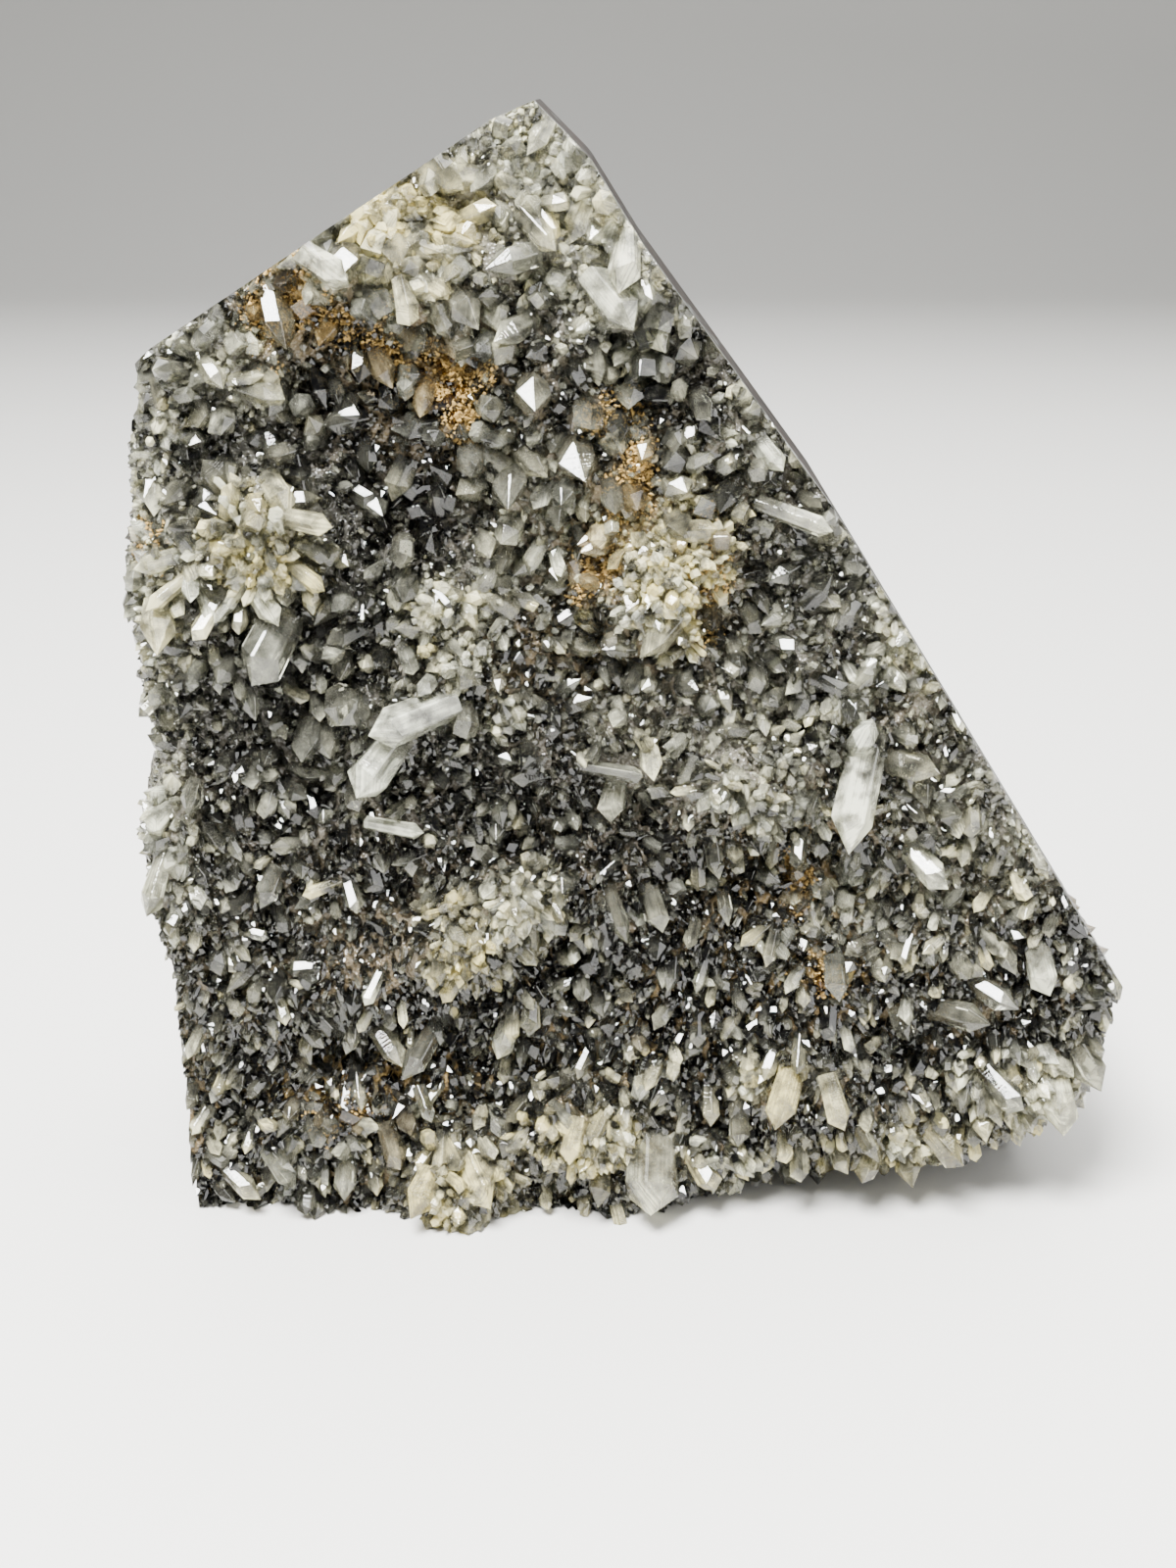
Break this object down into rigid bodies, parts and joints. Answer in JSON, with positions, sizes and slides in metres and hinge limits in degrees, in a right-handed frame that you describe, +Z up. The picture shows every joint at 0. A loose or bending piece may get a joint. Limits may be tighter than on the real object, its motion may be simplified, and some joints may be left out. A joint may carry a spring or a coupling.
{
  "type": "sphalerite freeform",
  "caption": "Standing slab of dark sphalerite, sawn flat on its base, back and sides, with a natural front crusted in small quartz points.",
  "frame": {"origin": "on the sawn base, under the middle of the slab", "axes": "+Z up from the base to the peak, -Y out of the crystal front, +Y out of the sawn back, +X to the right seen from the front"},
  "size_m": [0.1026, 0.0434, 0.1143],
  "materials": {
    "sphalerite": "near-black zinc blende, resinous where broken and glossy where sawn and polished",
    "quartz": "clear to smoky natural crystal faces",
    "milky_quartz": "cream to milky crystal faces, half clear",
    "limonite": "matte rust-brown crumbs"
  },
  "bodies": {
    "root": {"sphalerite_specimen": "sphalerite"}
  },
  "joints": []
}
